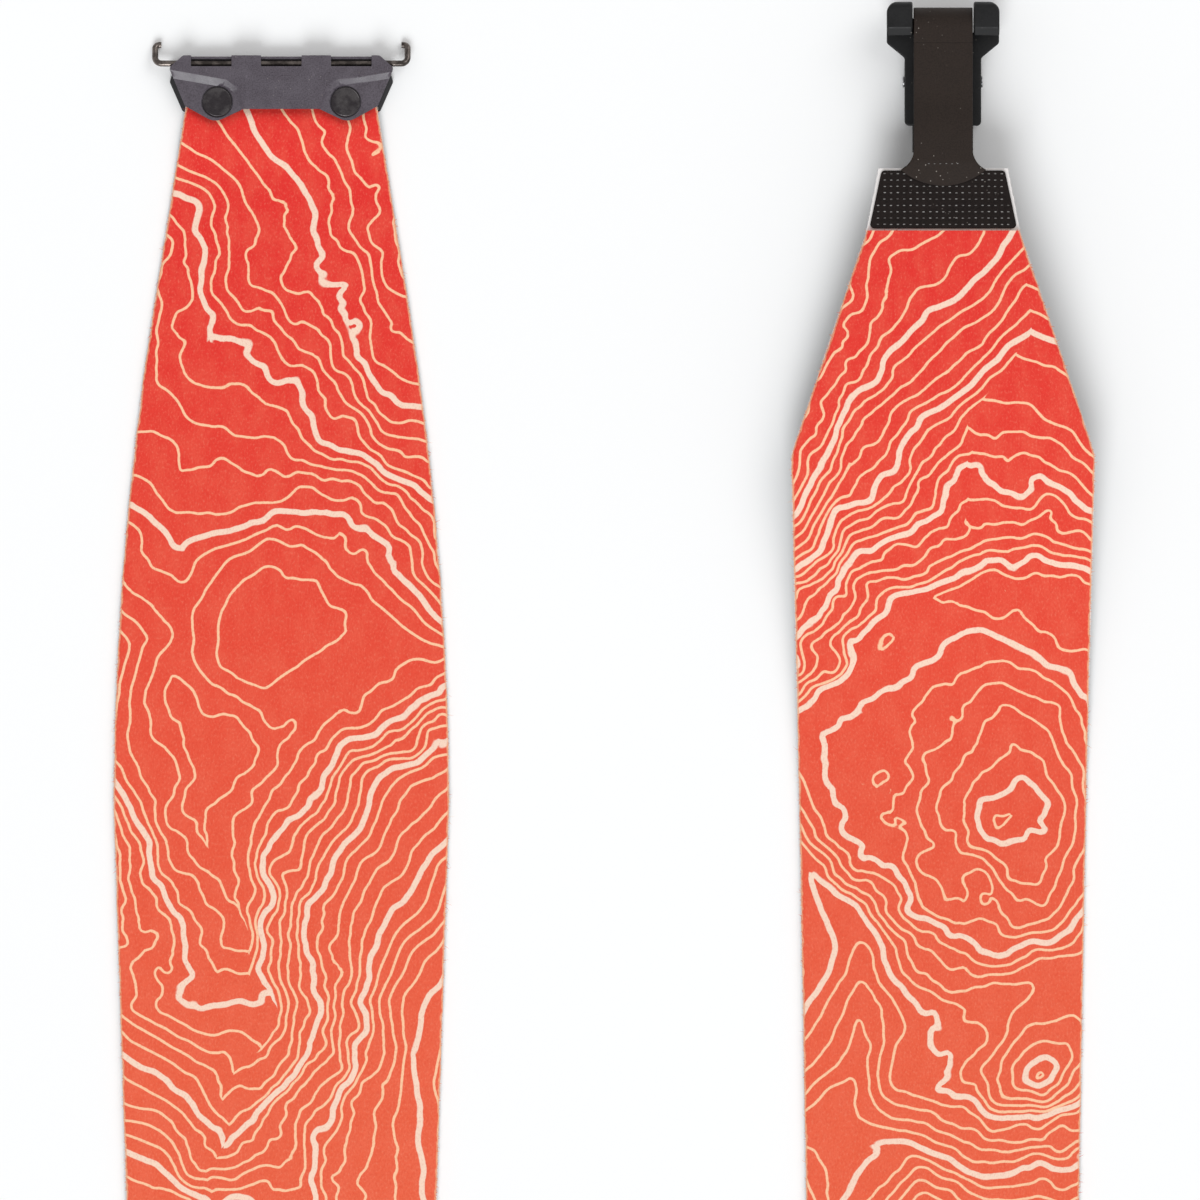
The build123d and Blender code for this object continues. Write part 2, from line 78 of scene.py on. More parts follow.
# the printed pattern
STEP, INDEX_STEP = 0.8, 4.0  # height between thin lines and between thick lines
THIN_LINE = (0.00028, 0.00058)  # half width where the line is full and where it ends
THICK_LINE = (0.00078, 0.00118)
LEAST_SLOPE = 25.0  # height per metre, so that lines on flat ground don't spread

# the view, the floor and the light
VIEW = Vector((-0.0041, 0.6434, 0.0))  # middle of the picture
WIDTH = 0.408  # width of the picture at the floor
LENS, SENSOR = 1000, 36  # mm: a long lens, so the view is nearly parallel
FLOOR_HALF = 32.0
FLOOR_Z = -0.0002
ROOM_LIGHT = 0.5


# ---- reading the frame --------------------------------------------------------------------------------
def to_row(side, points):
    """Points of one skin, x from its centre line and y towards its tip, in the row frame."""
    p = np.array(points, float).reshape(-1, 3)
    p[:, :2] *= SIDES[side]
    p[:, 0] += CENTRE_X[side]
    return p


class Probe:
    """Rays against one or more CAD nodes, in one skin's own coordinates."""

    def __init__(self, side, *names):
        self.side = side
        verts, polys = [], []
        for n in names:
            data = NODES[f"{side}_{n}"].data
            start = len(verts)
            verts += [v.co.copy() for v in data.vertices]
            polys += [[start + i for i in p.vertices] for p in data.polygons]
        self.tree = BVHTree.FromPolygons(verts, polys)

    def hit(self, origin, direction):
        o = Vector(to_row(self.side, [origin])[0])
        s = SIDES[self.side]
        d = Vector((direction[0] * s, direction[1] * s, direction[2]))
        place = self.tree.ray_cast(o, d)[0]
        if place is None:
            return None
        return Vector(((place.x - CENTRE_X[self.side]) * s, place.y * s, place.z))

    def low(self, x, y):
        p = self.hit((x, y, -0.05), (0, 0, 1))
        return None if p is None else p.z

    def high(self, x, y):
        p = self.hit((x, y, 0.1), (0, 0, -1))
        return None if p is None else p.z

    def half(self, y, z):
        p = self.hit((0.2, y, z), (-1, 0, 0))
        return None if p is None else p.x


def y_range(side, node):
    """Lowest and highest y of a node in its skin's own coordinates."""
    lo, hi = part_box(f"{side}_{node}")
    ys = sorted((lo.y * SIDES[side], hi.y * SIDES[side]))
    return ys[0], ys[1]


# ---- meshes -------------------------------------------------------------------------------------------
def make_mesh(name, verts, faces, materials, indices=None, smooth=True):
    """A linked mesh object; indices gives the material of each face."""
    data = bpy.data.meshes.new(name)
    data.from_pydata([tuple(v) for v in verts], [], faces)
    for m in materials:
        data.materials.append(m)
    if indices is not None:
        data.polygons.foreach_set("material_index", indices)
    data.polygons.foreach_set("use_smooth", [smooth] * len(data.polygons))
    data.validate()
    data.update()
    obj = bpy.data.objects.new(name, data)
    bpy.context.scene.collection.objects.link(obj)
    return obj


def attribute(obj, name, kind, values):
    """Stores a value at each point, for the materials to read."""
    a = obj.data.attributes.new(name, kind, "POINT")
    key = "vector" if kind == "FLOAT_VECTOR" else "value"
    a.data.foreach_set(key, np.array(values, np.float32).ravel())


def loft(name, rings, materials, ring_material=None, smooth=True):
    """A closed mesh through rings of points, each ring running round one cross-section the same way."""
    count = len(rings[0])
    verts = [p for r in rings for p in r]
    faces, index = [], []
    for i in range(len(rings) - 1):
        for j in range(count):
            k = (j + 1) % count
            faces.append((i * count + j, (i + 1) * count + j, (i + 1) * count + k, i * count + k))
            index.append(ring_material[j] if ring_material else 0)
    last = (len(rings) - 1) * count
    faces.append(tuple(range(count)))
    faces.append(tuple(last + j for j in reversed(range(count))))
    index += [0, 0]
    obj = make_mesh(name, verts, faces, materials, index, smooth)
    for p in list(obj.data.polygons)[-2:]:
        p.use_smooth = False
    for e in obj.data.edges:
        a, b = e.vertices
        e.use_edge_sharp = (a < count and b < count) or (a >= last and b >= last)
    return obj


def spaced(a, b, step, fine=None):
    """Stations from a to b, closer together inside the fine span."""
    out = [a]
    while out[-1] < b - 1e-9:
        y = out[-1]
        gap = step
        if fine and fine[0] - step < y < fine[1] + step:
            gap = fine[2]
        out.append(min(b, y + gap))
    if len(out) > 2 and out[-1] - out[-2] < step * 0.2:
        out.pop(-2)
    return out


# ---- materials ----------------------------------------------------------------------------------------
def linear(c):
    """Linear share of light of an 8-bit sRGB level."""
    return (c / 255) / 12.92 if c <= 10 else ((c / 255 + 0.055) / 1.055) ** 2.4


def rgb(r, g, b):
    """Linear colour of an 8-bit sRGB one."""
    return (linear(r), linear(g), linear(b), 1.0)


class Nodes:
    """A node tree with short ways to add to it."""

    def __init__(self, tree):
        self.tree = tree

    def add(self, kind, **props):
        n = self.tree.nodes.new(kind)
        for k, v in props.items():
            setattr(n, k, v)
        return n

    def set(self, socket, value):
        if isinstance(value, bpy.types.NodeSocket):
            self.tree.links.new(value, socket)
        elif value is not None:
            socket.default_value = value

    def math(self, op, a, b=None):
        n = self.add("ShaderNodeMath", operation=op)
        self.set(n.inputs[0], a)
        self.set(n.inputs[1], b)
        return n.outputs[0]

    def add_up(self, *terms):
        total = terms[0]
        for term in terms[1:]:
            total = self.math("ADD", total, term)
        return total

    def times(self, a, b):
        return self.math("MULTIPLY", a, b)

    def vector(self, op, a, b=None, scale=None):
        n = self.add("ShaderNodeVectorMath", operation=op)
        self.set(n.inputs[0], a)
        self.set(n.inputs[1], b)
        self.set(n.inputs[3], scale)
        return n.outputs["Value" if op == "LENGTH" else "Vector"]

    def noise(self, where, scale, detail=2.0, rough=0.5, colour=False):
        n = self.add("ShaderNodeTexNoise")
        self.set(n.inputs["Vector"], where)
        n.inputs["Scale"].default_value = scale
        n.inputs["Detail"].default_value = detail
        n.inputs["Roughness"].default_value = rough
        return n.outputs["Color"] if colour else n.outputs[0]

    def voronoi(self, where, scale):
        n = self.add("ShaderNodeTexVoronoi")
        self.set(n.inputs["Vector"], where)
        n.inputs["Scale"].default_value = scale
        return n.outputs["Distance"]

    def step(self, value, low, high, a=0.0, b=1.0):
        """Smooth change from a to b as value goes from low to high."""
        n = self.add("ShaderNodeMapRange", interpolation_type="SMOOTHSTEP")
        self.set(n.inputs["Value"], value)
        n.inputs["From Min"].default_value = low
        n.inputs["From Max"].default_value = high
        n.inputs["To Min"].default_value = a
        n.inputs["To Max"].default_value = b
        return n.outputs[0]

    def mix(self, fac, a, b):
        n = self.add("ShaderNodeMix", data_type="RGBA")
        self.set(n.inputs[0], fac)
        self.set(n.inputs[6], a)
        self.set(n.inputs[7], b)
        return n.outputs[2]

    def split(self, v):
        n = self.add("ShaderNodeSeparateXYZ")
        self.set(n.inputs[0], v)
        return n.outputs[0], n.outputs[1], n.outputs[2]

    def join(self, x, y, z):
        n = self.add("ShaderNodeCombineXYZ")
        for i, v in enumerate((x, y, z)):
            self.set(n.inputs[i], v)
        return n.outputs[0]

    def attribute(self, name, out="Vector"):
        return self.add("ShaderNodeAttribute", attribute_name=name).outputs[out]

    def object_place(self):
        return self.add("ShaderNodeTexCoord").outputs["Object"]

    def bump(self, height, strength, distance):
        n = self.add("ShaderNodeBump")
        self.set(n.inputs["Height"], height)
        n.inputs["Strength"].default_value = strength
        n.inputs["Distance"].default_value = distance
        return n.outputs[0]


def material(name, colour, roughness=0.5, metallic=0.0, specular=0.5, sheen=0.0, sheen_tint=None):
    """A Principled material and its node helper; colour and roughness may be replaced by links."""
    m = bpy.data.materials.new(name)
    m.use_nodes = True
    n = Nodes(m.node_tree)
    bsdf = next(x for x in m.node_tree.nodes if x.type == "BSDF_PRINCIPLED")
    bsdf.inputs["Base Color"].default_value = colour
    bsdf.inputs["Roughness"].default_value = roughness
    bsdf.inputs["Metallic"].default_value = metallic
    bsdf.inputs["Specular IOR Level"].default_value = specular
    if sheen:
        bsdf.inputs["Sheen Weight"].default_value = sheen
        bsdf.inputs["Sheen Roughness"].default_value = 0.5
        bsdf.inputs["Sheen Tint"].default_value = sheen_tint or (1, 1, 1, 1)
    return m, n, bsdf


def relief_group():
    """Height of an invented landscape, in contour steps, at a place on the skin."""
    g = bpy.data.node_groups.new("relief", "ShaderNodeTree")
    g.interface.new_socket("Place", in_out="INPUT", socket_type="NodeSocketVector")
    g.interface.new_socket("Height", in_out="OUTPUT", socket_type="NodeSocketFloat")
    n = Nodes(g)
    place = n.add("NodeGroupInput").outputs[0]
    out = n.add("NodeGroupOutput")

    def wander(scale, amount, mask=None):
        v = n.vector("SUBTRACT", n.noise(place, scale, 0.0, 0.5, True), (0.5, 0.5, 0.5))
        v = n.vector("SCALE", v, scale=amount)
        return n.vector("SCALE", v, scale=mask) if mask is not None else v

    rough_ground = n.step(n.noise(n.vector("ADD", place, (0.7, 0.2, 0.9)), 16.0, 0.0), 0.40, 0.60, 0.35, 1.0)
    moved = n.vector("ADD", place, wander(11.0, 0.060))
    moved = n.vector("ADD", moved, wander(33.0, 0.019))
    moved = n.vector("ADD", moved, wander(90.0, 0.0105, rough_ground))
    moved = n.vector("ADD", moved, wander(210.0, 0.0030, rough_ground))
    v = n.add("ShaderNodeTexVoronoi", feature="SMOOTH_F1", voronoi_dimensions="2D")
    n.set(v.inputs["Vector"], n.vector("MULTIPLY", moved, (1.0, 0.8, 1.0)))
    v.inputs["Scale"].default_value = 10.0
    v.inputs["Smoothness"].default_value = 0.12
    hills = n.noise(moved, 8.0, 0.5, 0.5)
    ground = n.add_up(n.times(v.outputs["Distance"], 16.0), n.times(hills, 13.0))
    x, y, _ = n.split(moved)
    # zones along the skin, each from 0 to 1
    tip = n.step(y, 0.63, 0.79)
    tail = n.step(y, -0.60, -0.72)
    middle = n.times(n.step(y, 0.36, 0.46), n.step(y, 0.66, 0.56))
    near_tip = n.step(y, 0.59, 0.70)
    calm = n.math("MAXIMUM", n.math("MAXIMUM", near_tip, tail), n.times(middle, 0.85))
    calm = n.math("SUBTRACT", 1.0, n.times(calm, 0.72))
    # the ground, one long slope, a cross slope at the tip, and a ridge along the skin in two zones
    height = n.add_up(n.times(n.math("SUBTRACT", ground, 13.7), calm), n.times(y, 52.0))
    across = n.times(n.math("SUBTRACT", x, 0.010), 78.0)
    ridge = n.math("ABSOLUTE", n.add_up(x, 0.022))
    folded = n.add_up(n.times(tail, -92.0), n.times(middle, -95.0))
    steeper = n.times(n.times(n.add_up(y, 0.68), 45.0), tail)
    n.set(out.inputs[0], n.add_up(height, n.times(across, tip), n.times(ridge, folded), steeper))
    return g


def plush():
    """Short pile with a printed contour pattern, redder towards both ends of the skin."""
    m, n, bsdf = material("plush_print", rgb(235, 90, 68), 0.92, 0, 0.25, 0.12, rgb(255, 190, 150))
    lay = n.attribute("lay")
    edge = n.attribute("edge", "Fac")
    _, y, _ = n.split(lay)
    blur = n.vector("SUBTRACT", n.noise(lay, 900.0, 1.0, 0.5, True), (0.5, 0.5, 0.5))
    print_place = n.vector("ADD", lay, n.vector("SCALE", blur, scale=0.00025))
    group = relief_group()
    tiny = 0.0004  # the slope is measured over this distance
    heights = []
    for shift in ((0, 0, 0), (tiny, 0, 0), (0, tiny, 0)):
        h = n.add("ShaderNodeGroup", node_tree=group)
        n.set(h.inputs[0], n.vector("ADD", print_place, shift))
        heights.append(h.outputs[0])
    h0, hx, hy = heights
    gx = n.math("DIVIDE", n.math("SUBTRACT", hx, h0), tiny)
    gy = n.math("DIVIDE", n.math("SUBTRACT", hy, h0), tiny)
    slope = n.math("MAXIMUM", n.vector("LENGTH", n.join(gx, gy, 0.0)), LEAST_SLOPE)

    def line(levels, width):
        """1 on the contour lines that are levels apart in height, 0 off them."""
        f = n.math("FRACT", n.math("ADD", n.math("DIVIDE", h0, levels), 0.5))
        f = n.times(n.math("ABSOLUTE", n.math("SUBTRACT", f, 0.5)), levels)
        return n.step(n.math("DIVIDE", f, slope), *width, 1.0, 0.0)

    thin = line(STEP, THIN_LINE)
    thick = line(INDEX_STEP, THICK_LINE)
    ends = n.step(n.math("ABSOLUTE", y), 0.44, 0.80)
    base = n.mix(ends, rgb(235, 98, 67), rgb(229, 50, 45))
    cloud = n.noise(n.vector("MULTIPLY", lay, (1.0, 0.5, 1.0)), 160.0, 3.0, 0.6)
    base = n.mix(n.step(cloud, 0.35, 0.7, 0.0, 0.22), base, rgb(245, 120, 92))
    colour = n.mix(n.times(thin, 0.96), base, rgb(254, 206, 166))
    colour = n.mix(thick, colour, rgb(249, 218, 196))
    fine = n.noise(n.vector("MULTIPLY", lay, (1.0, 0.6, 1.0)), 1500.0, 2.0, 0.7)
    colour = n.mix(n.step(fine, 0.30, 0.52, 0.20, 0.0), colour, rgb(206, 42, 34))
    colour = n.mix(n.step(fine, 0.52, 0.75, 0.0, 0.20), colour, rgb(255, 170, 140))
    ragged = n.times(n.math("SUBTRACT", n.noise(lay, 420.0, 2.0, 0.6), 0.5), 0.0011)
    frayed = n.math("ADD", edge, ragged)
    colour = n.mix(n.step(frayed, 0.0, 0.0006, 0.85, 0.0), colour, rgb(251, 184, 142))
    n.set(bsdf.inputs["Base Color"], colour)
    n.set(bsdf.inputs["Roughness"], n.step(fine, 0.2, 0.8, 0.97, 0.82))
    lie = n.noise(n.vector("MULTIPLY", lay, (1.0, 0.35, 1.0)), 700.0, 3.0, 0.65)
    n.set(bsdf.inputs["Normal"], n.bump(n.math("ADD", lie, n.times(fine, 0.5)), 0.55, 0.0006))
    return m


def woven():
    """Off-white woven backing, with some dirt."""
    light, dark = rgb(243, 239, 237), rgb(206, 198, 194)
    pitch = 0.00055  # two threads
    m, n, bsdf = material("woven_backing", light, 0.85, 0, 0.2)
    lay = n.attribute("lay")
    x, y, _ = n.split(lay)
    wave_x = n.math("SINE", n.times(x, 2 * math.pi / pitch))
    wave_y = n.math("SINE", n.times(y, 2 * math.pi / pitch))
    weave = n.times(wave_x, wave_y)
    dirt = n.noise(lay, 90.0, 4.0, 0.6)
    colour = n.mix(n.step(weave, -1, 1, 0.0, 0.5), light, dark)
    colour = n.mix(n.step(dirt, 0.45, 0.75, 0.0, 0.35), colour, dark)
    n.set(bsdf.inputs["Base Color"], colour)
    n.set(bsdf.inputs["Roughness"], n.step(dirt, 0.3, 0.7, 0.78, 0.92))
    return m


def adhesive():
    """Dark glue, slightly shiny, with rolled-on streaks and specks."""
    m, n, bsdf = material("glue_face", rgb(44, 40, 39), 0.42, 0, 0.5)
    lay = n.attribute("lay")
    streak = n.noise(n.vector("MULTIPLY", lay, (1.0, 0.12, 1.0)), 260.0, 4.0, 0.6)
    blot = n.noise(lay, 45.0, 5.0, 0.6)
    specks = n.voronoi(lay, 420.0)
    colour = n.mix(n.step(streak, 0.35, 0.65), rgb(36, 33, 32), rgb(54, 50, 48))
    colour = n.mix(n.step(blot, 0.5, 0.75, 0.0, 0.5), colour, rgb(70, 66, 62))
    colour = n.mix(n.step(specks, 0.0, 0.09, 0.6, 0.0), colour, rgb(150, 140, 130))
    n.set(bsdf.inputs["Base Color"], colour)
    rough = n.math("ADD", n.step(blot, 0.3, 0.7, 0.30, 0.5), n.step(streak, 0.3, 0.7, 0.0, 0.12))
    n.set(bsdf.inputs["Roughness"], rough)
    return m


def film():
    """Grey membrane between the glue and the cloth, seen only as a thin line at the edges."""
    m, n, bsdf = material("membrane_film", rgb(96, 96, 100), 0.5)
    lay = n.attribute("lay")
    v = n.noise(lay, 500.0, 2.0, 0.5)
    n.set(bsdf.inputs["Base Color"], n.mix(v, rgb(84, 84, 88), rgb(112, 112, 116)))
    return m


def moulded(name, colour, light, roughness, grain=2600.0, dust=0.0, bump=0.25, specular=0.5, speckle=0.5):
    """Moulded plastic or rubber: fine speckled grain, faint mottling, dust and scuffs."""
    m, n, bsdf = material(name, colour, roughness, 0, specular)
    place = n.object_place()
    fine = n.noise(place, grain, 2.0, 0.6)
    mottle = n.noise(place, 150.0, 4.0, 0.6)
    scuffs = n.noise(n.vector("MULTIPLY", place, (1.0, 0.25, 1.0)), 700.0, 3.0, 0.7)
    c = n.mix(n.step(mottle, 0.3, 0.72, 0.0, 0.5), colour, light)
    c = n.mix(n.step(fine, 0.42, 0.66, 0.0, speckle), c, light)
    c = n.mix(n.step(fine, 0.36, 0.50, speckle * 0.8, 0.0), c, tuple(v * 0.6 for v in colour[:3]) + (1.0,))
    c = n.mix(n.step(scuffs, 0.66, 0.74, 0.0, 0.35), c, tuple(min(1.0, v * 1.6) for v in light[:3]) + (1.0,))
    if dust:
        dots = n.voronoi(place, 520.0)
        sparse = n.step(n.noise(place, 60.0, 2.0, 0.5), 0.5, 0.66)
        c = n.mix(n.times(n.step(dots, 0.05, 0.13, dust, 0.0), sparse), c, rgb(190, 182, 172))
    n.set(bsdf.inputs["Base Color"], c)
    r = n.step(mottle, 0.25, 0.75, roughness - 0.08, roughness + 0.10)
    n.set(bsdf.inputs["Roughness"], n.math("ADD", r, n.step(fine, 0.3, 0.7, -0.04, 0.04)))
    n.set(bsdf.inputs["Normal"], n.bump(fine, bump, 0.00012))
    return m


def metal(name, colour, light, roughness, along=(1.0, 1.0, 1.0), metallic=1.0):
    """Drawn or turned metal with fine streaks and worn patches."""
    m, n, bsdf = material(name, colour, roughness, metallic)
    place = n.vector("MULTIPLY", n.object_place(), along)
    streak = n.noise(place, 1400.0, 3.0, 0.6)
    worn = n.noise(n.object_place(), 260.0, 4.0, 0.6)
    n.set(bsdf.inputs["Base Color"], n.mix(n.step(worn, 0.42, 0.66), colour, light))
    r = n.step(streak, 0.3, 0.7, roughness - 0.08, roughness + 0.1)
    n.set(bsdf.inputs["Roughness"], n.math("ADD", r, n.step(worn, 0.4, 0.7, 0.06, 0.0)))
    n.set(bsdf.inputs["Normal"], n.bump(streak, 0.12, 0.0001))
    return m


def uneven(name, dark, light, roughness=0.8, scale=900.0):
    """Fibres and small raised marks: one colour that wanders between two shades."""
    m, n, bsdf = material(name, light, roughness, 0, 0.2)
    shade = n.noise(n.object_place(), scale, 3.0, 0.6)
    n.set(bsdf.inputs["Base Color"], n.mix(n.step(shade, 0.38, 0.62), dark, light))
    n.set(bsdf.inputs["Roughness"], n.step(shade, 0.3, 0.7, roughness - 0.08, roughness + 0.08))
    return m


MAT = {
    "plush": plush(),
    "backing": woven(),
    "glue": adhesive(),
    "film": film(),
    "plate": moulded("plate_plastic", rgb(75, 68, 76), rgb(95, 88, 97), 0.36, 2100.0, 0.3, 0.3, speckle=0.55),
    "plate_dark": moulded("back_plate_plastic", rgb(34, 33, 35), rgb(46, 45, 47), 0.55),
    "rivet": metal("blackened_rivet", rgb(50, 45, 48), rgb(80, 76, 77), 0.22, metallic=0.5),
    "wire": metal("dark_wire", rgb(72, 66, 63), rgb(124, 115, 110), 0.22, (0.1, 1.0, 1.0), 0.9),
    "steel": metal("pin_steel", rgb(150, 150, 152), rgb(190, 190, 192), 0.28, (0.1, 1.0, 1.0)),
    "patch": moulded("patch_rubber", rgb(24, 18, 16), rgb(38, 31, 29), 0.62, 1600.0, 0.5, 0.4, 0.12),
    "strap": moulded("strap_rubber", rgb(39, 30, 25), rgb(48, 39, 34), 0.62, 2000.0, 0.7, 0.35, 0.2),
    "clip": moulded("clip_plastic", rgb(19, 19, 20), rgb(29, 29, 30), 0.46, 2400.0, 0.4, specular=0.28),
    "lever": moulded("lever_plastic", rgb(28, 28, 30), rgb(42, 41, 43), 0.42, 2400.0, 0.3, specular=0.35),
    # patch dashes: these pale greys are painted highlight on the tops of the raised rubber dashes, which are
    # the patch's own dark rubber
    "dots": uneven("patch_dots_painted_highlight", rgb(92, 88, 86), rgb(150, 147, 145), 0.6, 500.0),
    "hair_cream": uneven("hair_cream", rgb(250, 206, 172), rgb(253, 234, 214)),
    "hair_peach": uneven("hair_peach", rgb(244, 150, 104), rgb(252, 186, 142)),
    "hair_red": uneven("hair_red", rgb(230, 70, 52), rgb(242, 116, 86)),
    "hair_white": uneven("hair_white", rgb(236, 226, 223), rgb(250, 246, 245)),
}


# ---- the skins ----------------------------------------------------------------------------------------
class Skin:
    """Sizes of one skin, read from its CAD nodes."""

    def __init__(self, side):
        self.side = side
        self.glue = Probe(side, "front_glue", "rear_glue")
        self.backing = Probe(side, "front_backing", "rear_backing")
        self.film = Probe(side, "front_membrane", "rear_membrane")
        self.pile = Probe(side, "front_plush", "rear_plush")
        self.plate = Probe(side, "tip_top_plate")
        self.tail = y_range(side, "rear_backing")[0]
        self.pile_tail = y_range(side, "rear_plush")[0]
        self.tip = y_range(side, "front_backing")[1]
        self.cache = {}
        flat_y = 0.3  # away from both ends, where the skin lies flat
        self.glue_t = self.glue.high(0, flat_y) - self.glue.low(0, flat_y)
        self.film_t = self.film.high(0, flat_y) - self.glue.high(0, flat_y)
        self.lam_t = self.backing.high(0, flat_y) - self.glue.low(0, flat_y)
        self.pile_t = self.pile.high(0, flat_y) - self.backing.high(0, flat_y)

    def section(self, y):
        """Height of the glue's underside and the half width, at y."""
        y = min(max(y, self.tail + INSIDE), self.tip - INSIDE)
        key = round(y, 6)
        if key not in self.cache:
            z = self.glue.low(0.0003, y)
            self.cache[key] = (z, self.glue.half(y, z + self.glue_t / 2))
        return self.cache[key]

    def floor(self, y):
        return self.section(y)[0]

    def half(self, y):
        return self.section(y)[1]

    def plate_edge(self, x):
        """y of the tip plate's rear edge above x, or None beside the plate."""
        key = ("edge", round(x, 5))
        if key not in self.cache:
            p = self.plate.hit((x, 0.78, 0.0040), (0, 1, 0))
            self.cache[key] = None if p is None else p.y
        return self.cache[key]


def cuts(skin):
    """Where the drawn pieces of one skin meet."""
    return [skin.pile_tail + (skin.tip - skin.pile_tail) * i / SEGMENTS for i in range(SEGMENTS + 1)]


def columns(count):
    """Shares of the half width, closer together near the edges."""
    t = np.linspace(-1, 1, count)
    return np.sign(t) * (1 - (1 - np.abs(t)) ** 1.35)


def place(obj, side, low, high):
    """Rides a piece of the skin; a piece that crosses mid-length is left fixed, with its placement baked into
    its points.
    """
    front, rear = f"{side}_skin_front", f"{side}_skin_rear"
    if low < -FOLD_BEND and high > FOLD_BEND:
        start = to_row(side, [(0, FOLD_BEND, 0)])[0]
        end = to_row(side, [(0, -FOLD_BEND, 0)])[0]
        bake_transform(obj)
    else:
        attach(obj, front if low > 0 else rear)


def bumpy(x, y, z, size):
    """Smooth random wander from -1 to 1, with bumps of about the given size."""
    return noise.noise(Vector((x / size, y / size, z)))


def stands_for(side, low, high, *layers):
    """The CAD nodes of some layers that a stretch from low to high covers."""
    nodes = []
    for layer in layers:
        nodes += [f"{side}_front_{layer}"] if high > 0 else []
        nodes += [f"{side}_rear_{layer}"] if low < 0 else []
    return nodes


def pile_piece(skin, i, low, high):
    """One stretch of plush, with an uneven surface and softly rounded, slightly ragged sides."""
    side = skin.side
    rows = spaced(low, high, PILE_ROWS, FOLD_FINE)
    top = columns(84)
    rings, lays, edges = [], [], []
    for y in rows:
        base = skin.floor(y) + skin.lam_t
        half = skin.half(y) - PILE_INSET
        halves = [
            half + (0.00022 * bumpy(s * 3.3, y, 1.5, 0.0021) + 0.00018 * bumpy(s * 7.1, y, 4.5, 0.007))
            for s in (-1, 1)
        ]
        ring, lay, edge = [], [], []

        def put(x, z, from_edge, ring=ring, lay=lay, edge=edge, y=y):
            ring.append((x, y, z))
            lay.append((x, y, 0))
            edge.append(from_edge)

        put(-halves[0], base, 0.0)
        put(halves[1], base, 0.0)
        put(halves[1] + 0.0001, base + 0.0006, 0.0)
        for t in reversed(top):
            w = halves[1] if t > 0 else halves[0]
            x = t * w
            from_edge = w - abs(x)
            height = skin.pile_t
            if from_edge < PILE_ROUND:
                height -= PILE_ROUND * 0.75 * (1 - math.sqrt(max(0.0, 1 - (1 - from_edge / PILE_ROUND) ** 2)))
            if y > skin.tip - PLATE_REACH:
                plate = skin.plate_edge(x)
                if plate is not None:
                    press = min(1.0, max(0.0, (plate - y) / PLATE_PRESS))
                    height *= PRESSED_SHARE + (1 - PRESSED_SHARE) * press * press * (3 - 2 * press)
            uneven = 0.00010 * bumpy(x, y, 0.3, 0.0045) + 0.00007 * bumpy(x, y * 0.6, 2.2, 0.0016)
            put(x, base + height + uneven * min(1, from_edge / 0.002), from_edge)
        put(-halves[0] - 0.0001, base + 0.0006, 0.0)
        rings.append(to_row(side, ring))
        lays += lay
        edges += edge
    obj = loft(f"{side}_pile_{i}", rings, [MAT["plush"]])
    attribute(obj, "lay", "FLOAT_VECTOR", lays)
    attribute(obj, "edge", "FLOAT", edges)
    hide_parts(*stands_for(side, low, high, "plush"))
    place(obj, side, low, high)
    return obj


def laminate_piece(skin, i, low, high):
    """One stretch of the cloth under the pile: glue below, then film, then woven backing."""
    side = skin.side
    fine = FOLD_FINE if low > skin.tail else (skin.tail, skin.pile_tail, BARE_ROWS)
    rows = spaced(low, high, CLOTH_ROWS, fine)
    across = np.linspace(-1, 1, 25)
    levels = list(enumerate((skin.glue_t, skin.film_t + skin.glue_t, skin.lam_t)))
    rings, lays = [], []
    for y in rows:
        z, half = skin.floor(y), skin.half(y)
        bare = 1.0 if y < skin.pile_tail else 0.0
        wave = 0.00010 * bumpy(1.0, y, 7.0, 0.004) + bare * 0.00022 * bumpy(2.0, y, 3.0, 0.0016)
        ring = [(t * (half + wave), y, z) for t in across]
        ring += [(half + wave + 0.00005 * k, y, z + level) for k, level in levels]
        ring += [(t * (half + wave), y, z + skin.lam_t) for t in across[::-1][1:-1]]
        ring += [(-half - wave - 0.00005 * k, y, z + level) for k, level in levels[::-1]]
        rings.append(to_row(side, ring))
        lays += [(p[0], p[1], 0) for p in ring]
    faces_across = len(across) - 1
    rim = [0, 1, 2]
    ring_material = [0] * faces_across + rim + [2] * faces_across + rim[::-1]
    layers = [MAT["glue"], MAT["film"], MAT["backing"]]
    obj = loft(f"{side}_cloth_{i}", rings, layers, ring_material, smooth=False)
    attribute(obj, "lay", "FLOAT_VECTOR", lays)
    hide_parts(*stands_for(side, low, high, "glue", "membrane", "backing"))
    place(obj, side, low, high)
    widths = [2 * skin.half(y) for y in rows]
    area = sum((a + b) / 2 * (d - c) for a, b, c, d in zip(widths, widths[1:], rows, rows[1:]))
    return obj, (max(widths), high - low), area


